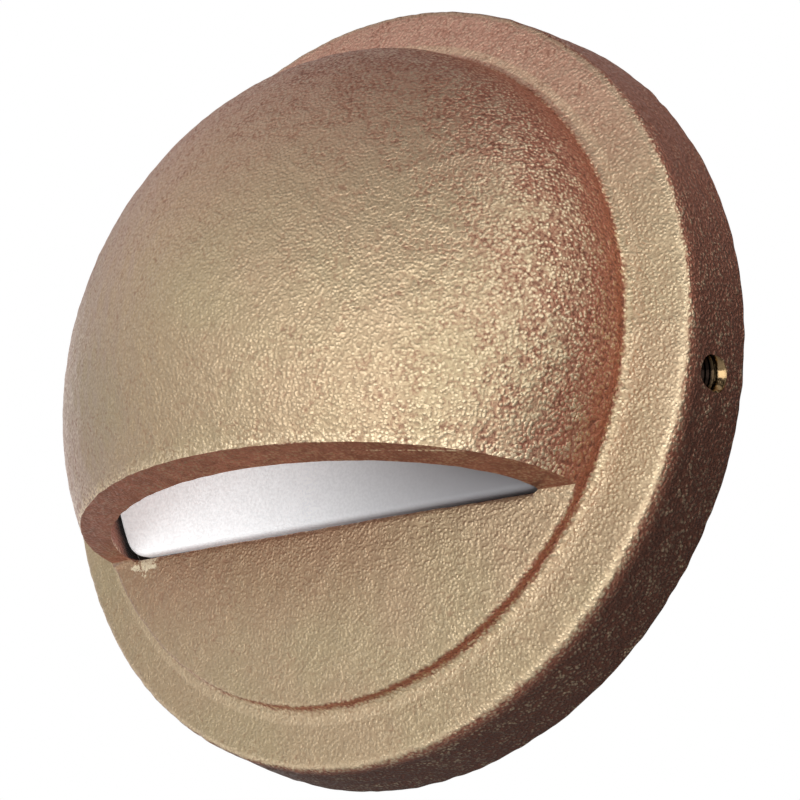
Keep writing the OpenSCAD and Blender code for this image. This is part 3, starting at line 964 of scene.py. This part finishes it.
# %% [markdown]
# Flange and step are the same shape in two sizes, a disc cut by a chord. The
# outline is one vertex spun round three centres, two corners and the disc's
# own. It is then filled, raised and beveled at the front. A lathe and a saw
# would leave the two lower corners sharp, where pressed glass is round.

# %% The disc with a chord
CORNER_STEPS = 10
ARC_STEPS = 150


def disc_with_chord(radius, chord_y, start, end, corner, edge):
    """A disc cut straight below; its two lower corners and its front edge are rounded."""
    corner_y = chord_y + corner
    corner_x = math.sqrt((radius - corner) ** 2 - corner_y ** 2)
    lean = math.degrees(math.atan2(corner_y, corner_x))
    bm = bmesh.new()
    tip = bm.verts.new((corner_x, chord_y, start))
    for centre_x, centre_y, degrees, steps in ((corner_x, corner_y, 90 + lean, CORNER_STEPS),
                                               (0, 0, 180 - 2 * lean, ARC_STEPS),
                                               (-corner_x, corner_y, 90 + lean, CORNER_STEPS)):
        swept = bmesh.ops.spin(bm, geom=[tip], cent=(centre_x, centre_y, start), axis=(0, 0, 1),
                               angle=math.radians(degrees), steps=steps)
        tip = vertices_of(swept["geom_last"])[0]
    bmesh.ops.contextual_create(bm, geom=[v for v in bm.verts if len(v.link_edges) == 1])
    bmesh.ops.edgeloop_fill(bm, edges=bm.edges[:])
    front = bmesh.ops.extrude_face_region(bm, geom=bm.faces[:])["geom"]
    bmesh.ops.translate(bm, verts=vertices_of(front), vec=(0, 0, end - start))
    rim = [e for e in bm.edges if all(abs(v.co.z - end) < 0.001 for v in e.verts)]
    bmesh.ops.bevel(bm, geom=rim, affect="EDGES", offset=edge, segments=6, profile=0.5,
                    material=-1, clamp_overlap=True)
    bmesh.ops.recalc_face_normals(bm, faces=bm.faces)
    return bm


print("steps round a disc:", ARC_STEPS + 2 * CORNER_STEPS)

# %% The lens
lens_r = 39.0
lens_chord_y = -23.0
lens_back = 7.3
lens_flange_front = 8.7
plug_r = 37.95
plug_chord_y = -20.9
plug_front = 10.6
plug_start = 0.4
plug_corner_r = 4.2
flange_corner_r = 2.0
melted_edge = 0.8
flange_edge = 0.3
flange = disc_with_chord(lens_r, lens_chord_y, lens_back, lens_flange_front,
                         flange_corner_r, flange_edge)
glass = workpiece("glass", flange, (frosted_glass,))
plug = disc_with_chord(plug_r, plug_chord_y, lens_back + plug_start, plug_front,
                       plug_corner_r, melted_edge)
combine(glass, workpiece("plug", plug, (frosted_glass,)), "UNION")
glass.name = "frosted_lens"
fit_on_wall(glass, "cover", "frosted_glass", "lens", sharp=40)

# %% [markdown]
# ## The set screws
# A set screw is a threaded rod without a head. Its hexagon socket takes the
# key, and its cone point bites into the plate's rim. The thread is made as a
# row of rings on the lathe template, which at half a millimetre of pitch reads
# as a thread, and the socket is a six-sided cutter. Both screws replace their
# plain CAD parts and ride on the same bodies.

# %% Plated steel
def make_screw_steel():
    """Zinc plated steel with a faint drawn grain."""
    material, tree, shader, where = finish("steel_plated", Metallic=1.0)
    grain = noise_of(tree, where, 0.2, detail=3.0)
    tree.links.new(blend_colours(tree, grain, rgb(172, 172, 170), rgb(206, 206, 203)),
                   shader.inputs["Base Color"])
    tree.links.new(spread(tree, grain, 0.3, 0.7, 0.2, 0.36), shader.inputs["Roughness"])
    tree.links.new(relief(tree, grain, 0.006), shader.inputs["Normal"])
    return material


plated_steel = make_screw_steel()
print("finish:", plated_steel.name)

# %% Two set screws
screw_tip_r = 43.3
screw_end_r = 47.3
screw_r = 1.75
screw_point_r = 0.5
screw_edge = 0.25
cone_length = 0.9
socket_across = 1.6
socket_depth = 1.6
key_turn = 30
for side, word, body in ((1, "right", "right_screw"), (-1, "left", "left_screw")):
    turns = int((screw_end_r - screw_tip_r - cone_length) / thread_pitch * 2)
    rings = [(screw_r - (thread_depth if i % 2 else 0),
              screw_tip_r + cone_length + i * thread_pitch / 2) for i in range(turns)]
    rod = turned([(0, screw_tip_r), (screw_point_r, screw_tip_r)] + rings
                 + [(screw_r, screw_end_r - screw_edge), (screw_r - screw_edge, screw_end_r),
                    (0, screw_end_r)], ROD_STEPS)
    key = bmesh.new()
    corner_r = socket_across / math.sqrt(3)
    bmesh.ops.create_cone(key, cap_ends=True, segments=6, radius1=corner_r, radius2=corner_r,
                          depth=2 * socket_depth, matrix=(
                              Matrix.Translation((0, 0, screw_end_r))
                              @ Matrix.Rotation(math.radians(key_turn), 4, "Z")))
    screw = workpiece("screw", on_screw_axis(rod, side), (plated_steel,))
    combine(screw, workpiece("key", on_screw_axis(key, side), (plated_steel,)), "DIFFERENCE")
    screw.name = "set_screw_" + word + "_threaded"
    fit_on_wall(screw, body, "screw_steel", "set_screw_" + word, sharp=30)

# %% [markdown]
# ## The small parts
# These CAD parts have the right shape already and only need their finish. Each
# finish is a colour that varies a little, with the grain of the real stuff:
# cells in foam, a soft bloom on rubber, a drawn sheen on plated steel. Two get
# a pattern of their own: the plate's turning rings and the board's tracks.

# %% Finishes with one grain
def plain_finish(name, dark, light, grain_mm, depth_mm, rough):
    """A finish whose colour, gloss and relief follow one grain."""
    material, tree, shader, where = finish(name + "_finish")
    grain = noise_of(tree, where, grain_mm, detail=3.0, rough=0.6)
    share = spread(tree, grain, 0.3, 0.7)
    tree.links.new(blend_colours(tree, share, dark, light), shader.inputs["Base Color"])
    tree.links.new(spread(tree, grain, 0.3, 0.7, *rough), shader.inputs["Roughness"])
    tree.links.new(relief(tree, grain, depth_mm), shader.inputs["Normal"])
    return material


PLAIN = {
    # slot: darkest and lightest colour, grain and relief in mm, range of roughness
    "silicone": (rgb(198, 198, 193), rgb(222, 222, 218), 0.8, 0.02, (0.45, 0.6)),
    "black_foam": (rgb(24, 24, 25), rgb(72, 72, 75), 0.5, 0.16, (0.8, 0.95)),
    "black_rubber": (rgb(28, 28, 29), rgb(50, 50, 52), 0.6, 0.02, (0.45, 0.65)),
    "grey_pad": (rgb(150, 152, 156), rgb(176, 178, 182), 0.4, 0.02, (0.7, 0.85)),
    "white_package": (rgb(236, 236, 232), rgb(250, 250, 248), 0.3, 0.004, (0.35, 0.5)),
    "phosphor": (rgb(238, 196, 58), rgb(250, 222, 104), 0.15, 0.02, (0.25, 0.4)),
    "black_chip": (rgb(24, 24, 26), rgb(46, 46, 48), 0.15, 0.01, (0.5, 0.7)),
    "ferrite": (rgb(52, 50, 49), rgb(86, 84, 81), 0.2, 0.03, (0.5, 0.7)),
    "ceramic": (rgb(164, 130, 84), rgb(192, 158, 110), 0.3, 0.006, (0.35, 0.5)),
}
FINISHES = {slot: plain_finish(slot, *look) for slot, look in PLAIN.items()}
print("finishes with one grain:", len(FINISHES))

# %% [markdown]
# The wall plate is turned from brass, and the tool leaves fine rings on it. A
# sine of the distance from the axis draws them. An image could, too, but it
# would blur close up. A dull bloom lies where hands have been.

# %% Turned brass
TURNING_PITCH = 0.45


def make_turned_brass():
    """Brass off the lathe: fine rings round the axis, under a dull bloom."""
    material, tree, shader, where = finish("brass_turned", Metallic=1.0)
    phase = times(tree, radius_of(tree, where), FULL_TURN / (TURNING_PITCH * MM))
    rings = add(tree, "Math", {0: phase}, operation="SINE").outputs[0]
    bloom = noise_of(tree, where, 7, detail=3.0)
    tone = spread(tree, bloom, 0.3, 0.7)
    tone = blend_colours(tree, tone, rgb(196, 169, 116), rgb(212, 187, 134))
    tree.links.new(tone, shader.inputs["Base Color"])
    tree.links.new(spread(tree, bloom, 0.3, 0.7, 0.30, 0.38), shader.inputs["Roughness"])
    tree.links.new(relief(tree, rings, 0.006), shader.inputs["Normal"])
    return material


FINISHES["plate_brass"] = make_turned_brass()
print("turning rings:", TURNING_PITCH, "mm apart")

# %% [markdown]
# On a circuit board the copper shows through the white mask as a faint step.
# Here it is two rings, one under the light packages and one under the driver's
# parts, and gaps cut both. Each track is given by its middle radius and half
# its width.

# %% White solder mask
LED_TRACK = (20.6, 1.6)
DRIVER_TRACK = (14.0, 1.9)
SPOKES = 12.0


def make_board_mask():
    """White solder mask over copper: two rings, cut by gaps, stand a hair proud."""
    material, tree, shader, where = finish("board_mask", Roughness=0.35)
    radius = radius_of(tree, where)

    def on_track(middle, half_width):
        return add(tree, "Math", {0: radius, 1: middle * MM, 2: half_width * MM},
                   operation="COMPARE").outputs[0]

    tracks = larger(tree, spread(tree, on_track(*LED_TRACK), 0, 1), on_track(*DRIVER_TRACK))
    parts = add(tree, "SeparateXYZ", {0: where}).outputs
    angle = add(tree, "Math", {0: parts["Z"], 1: parts["X"]}, operation="ARCTAN2").outputs[0]
    spokes = add(tree, "Math", {0: times(tree, angle, SPOKES)}, operation="COSINE").outputs[0]
    copper = times(tree, tracks, spread(tree, spokes, 0.90, 0.96, 1.0, 0.0))
    speck = noise_of(tree, where, 0.5)
    laid = blend_colours(tree, copper, rgb(226, 227, 222), rgb(244, 244, 240))
    mask = blend_colours(tree, spread(tree, speck, 0.3, 0.7, 0.0, 0.12), laid, rgb(205, 206, 200))
    tree.links.new(mask, shader.inputs["Base Color"])
    proud = plus(tree, copper, times(tree, speck, 0.1))
    tree.links.new(relief(tree, proud, 0.05), shader.inputs["Normal"])
    return material


FINISHES["white_board"] = make_board_mask()
print("copper rings cut by", round(SPOKES), "gaps")

# %% [markdown]
# Every CAD part comes with a plain material that has its slot's name, and the
# real finish takes its place. The CAD's own cover and lens keep the plain one,
# because the pieces made above stand for them.

# %% Every part takes its finish
FINISHES["screw_steel"] = plated_steel
for name, obj in sorted(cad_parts.items()):
    slot = obj.data.materials[0].name
    if slot in FINISHES:
        obj.data.materials[0] = FINISHES[slot]
    print(name, "takes", slot)

# %% [markdown]
# ## Light, floor and camera
# The camera stands where the photograph was taken, low and to the right. Its
# place, aim and roll come from the two circles of the ring, which show how far
# and from where it was seen.

# %% Camera
camera_data = bpy.data.cameras.new("camera")
camera_data.sensor_width = 36
camera_data.lens = 46.65
camera = bpy.data.objects.new("camera", camera_data)
bpy.context.scene.collection.objects.link(camera)
camera_at = Vector((0.08029, -0.10188, -0.04513))
camera_to = Vector((0.00609, 0.0, -0.00367))
camera_roll = math.radians(-1.09)
forward = (camera_to - camera_at).normalized()
right = forward.cross(Vector((0, 0, 1))).normalized()
up = right.cross(forward)
right_rolled = right * math.cos(camera_roll) + up * math.sin(camera_roll)
up_rolled = right_rolled.cross(forward)
turn = Matrix((right_rolled, up_rolled, -forward)).transposed()
camera.matrix_world = Matrix.Translation(camera_at) @ turn.to_4x4()
bpy.context.scene.camera = camera
camera_data.clip_start = 0.005
print("camera to light:", round(1000 * (camera_to - camera_at).length), "mm")

# %% [markdown]
# A deck light hangs a foot or so over the deck, so the floor lies that far
# below it. The floor is pale and takes the object's shadow. Toward its edge it
# fades into the white ground, which only the camera and reflections see.

# %% Floor
FLOOR_DROP = 0.30
FLOOR_RADIUS = 1.2
FADE = (0.15 * FLOOR_RADIUS, 0.85 * FLOOR_RADIUS)
bm = bmesh.new()
bmesh.ops.create_circle(bm, cap_ends=True, segments=96, radius=FLOOR_RADIUS)
mesh = bpy.data.meshes.new("floor")
bm.to_mesh(mesh)
bm.free()
floor = bpy.data.objects.new("floor", mesh)
floor.location = (0, 0, cad_low.z - FLOOR_DROP)
bpy.context.scene.collection.objects.link(floor)
material, tree, shader, where = finish("pale_floor", Roughness=0.9)
away = add(tree, "VectorMath", {0: where}, operation="LENGTH").outputs["Value"]
fade = spread(tree, away, *FADE)
path = add(tree, "LightPath").outputs
seen = larger(tree, path["Is Camera Ray"], times(tree, path["Is Glossy Ray"], 0.1))
seen = larger(tree, seen, path["Is Transmission Ray"])
pale = times(tree, fade, seen)
tree.links.new(blend_colours(tree, pale, rgb(225, 225, 225), rgb(0, 0, 0)),
               shader.inputs["Base Color"])
shader.inputs["Emission Color"].default_value = (1, 1, 1, 1)
tree.links.new(times(tree, spread(tree, fade, 0, 1, 0.45, 1.0), seen),
               shader.inputs["Emission Strength"])
mesh.materials.append(material)
print("floor at", round(1000 * floor.location.z), "mm")

# %% [markdown]
# Soft lamps stand all round, half a metre away. The two low ones in front and
# to the right are the strongest and give the broad golden highlight. The others
# fill the left, draw the rims and keep the back from going black.

# %% Lamps
LAMP_DISTANCE = 0.5
LAMP_SIZE = 0.36


def studio_lamp(name, watts, azimuth, elevation):
    """A square soft lamp aimed at the light: azimuth 0 is in front, 90 to the right."""
    a, e = math.radians(azimuth), math.radians(elevation)
    way = Vector((math.sin(a) * math.cos(e), -math.cos(a) * math.cos(e), math.sin(e)))
    data = bpy.data.lights.new(name, "AREA")
    data.shape = "SQUARE"
    data.size = LAMP_SIZE
    data.energy = watts
    lamp = bpy.data.objects.new(name, data)
    lamp.location = way * LAMP_DISTANCE
    lamp.rotation_euler = lamp.location.to_track_quat("Z", "Y").to_euler()
    bpy.context.scene.collection.objects.link(lamp)


for lamp in (("key_low", 0.72, 15, -10), ("key_side", 0.60, 40, -10),
             ("front_left", 0.26, -10, -10), ("front_high", 0.26, -10, 18),
             ("right", 0.48, 65, 18), ("rim_right", 0.20, 90, 18), ("right_high", 0.33, 90, 45),
             ("left", 0.20, -48, 18), ("left_high", 0.11, -60, 45), ("left_low", 0.48, -60, -35),
             ("rim_left", 0.41, -120, 5), ("overhead", 0.14, -5, 58), ("behind", 0.20, 200, 12)):
    studio_lamp(*lamp)
print("lamps:", len(bpy.data.lights))

# %% [markdown]
# The white ground stands behind the light and to its left, and the room in
# front is dark. The camera sees white all round. Reflections see half of it on
# the backdrop's side, which keeps the form of the metal readable.

# %% World
BACKDROP_SIDE = (-0.707, 0.707, 0.0)
REFLECTED_WHITE = 0.5
DARK_ROOM = 0.02
world = bpy.data.worlds.new("world")
world.use_nodes = True
bpy.context.scene.world = world
tree = world.node_tree
ground = tree.nodes["Background"]
path = add(tree, "LightPath").outputs
direction = add(tree, "TexCoord").outputs["Generated"]
on_backdrop = spread(tree, toward(tree, direction, BACKDROP_SIDE), 0.0, 0.7,
                     DARK_ROOM, REFLECTED_WHITE)
reflected = times(tree, path["Is Glossy Ray"], on_backdrop)
shown = larger(tree, path["Is Camera Ray"], path["Is Transmission Ray"])
tree.links.new(larger(tree, shown, reflected), ground.inputs["Strength"])
ground.inputs["Color"].default_value = (1, 1, 1, 1)
print("backdrop reflected at", REFLECTED_WHITE)

# %% [markdown]
# The colours are shown as they are, without a film look, so that they
# can be compared with the photograph.

bpy.context.scene.view_settings.view_transform = "Standard"
